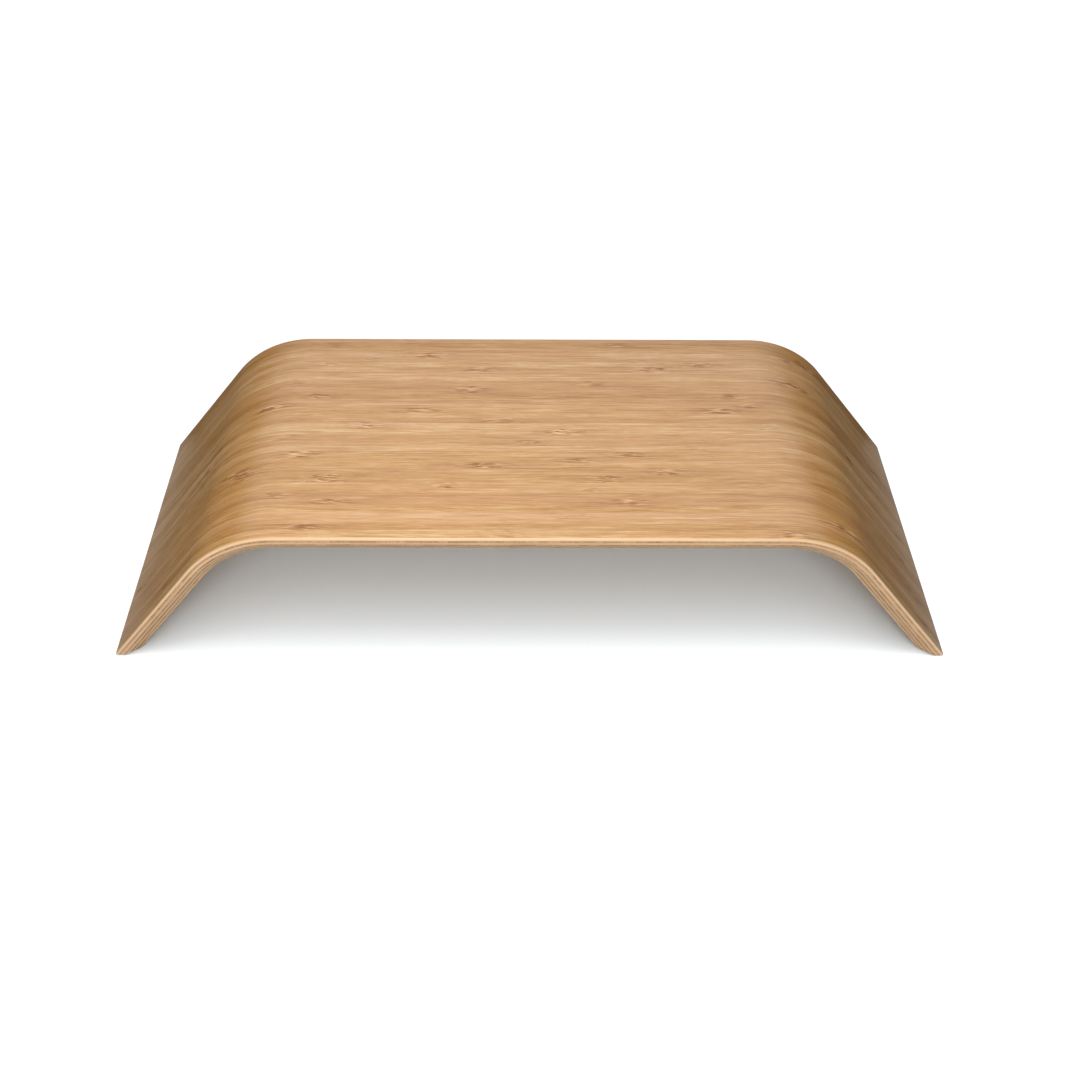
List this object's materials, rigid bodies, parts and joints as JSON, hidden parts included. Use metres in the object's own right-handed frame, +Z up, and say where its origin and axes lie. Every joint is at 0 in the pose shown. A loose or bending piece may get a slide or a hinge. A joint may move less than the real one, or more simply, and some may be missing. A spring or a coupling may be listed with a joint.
{
  "type": "monitor riser",
  "caption": "Low desk riser bent from laminated bamboo board: a flat top that curves down at both ends into slanted legs, with undercut edges and thin non-slip pads.",
  "frame": {"origin": "on the floor under the middle of the board, at the centre of its length and depth", "axes": "+X along the board to the right, -Y out of the front edge, +Z up"},
  "size_m": [0.513, 0.232, 0.091],
  "materials": {
    "bamboo_face": "clear satin lacquer over side-pressed bamboo strips",
    "core_long_grain": "lacquered ply edge, strips along the board",
    "core_cross_grain": "lacquered ply edge, end grain",
    "pad_rubber": "matt self-adhesive rubber"
  },
  "bodies": {
    "root": {"top_face_veneer": "bamboo_face", "core_ply_01": "core_long_grain", "core_ply_02": "core_cross_grain", "core_ply_03": "core_long_grain", "core_ply_04": "core_cross_grain", "core_ply_05": "core_long_grain", "core_ply_06": "core_cross_grain", "core_ply_07": "core_long_grain", "core_ply_08": "core_cross_grain", "core_ply_09": "core_long_grain", "bottom_face_veneer": "bamboo_face", "pad_left_front": "pad_rubber", "pad_left_rear": "pad_rubber", "pad_right_front": "pad_rubber", "pad_right_rear": "pad_rubber"}
  },
  "joints": []
}
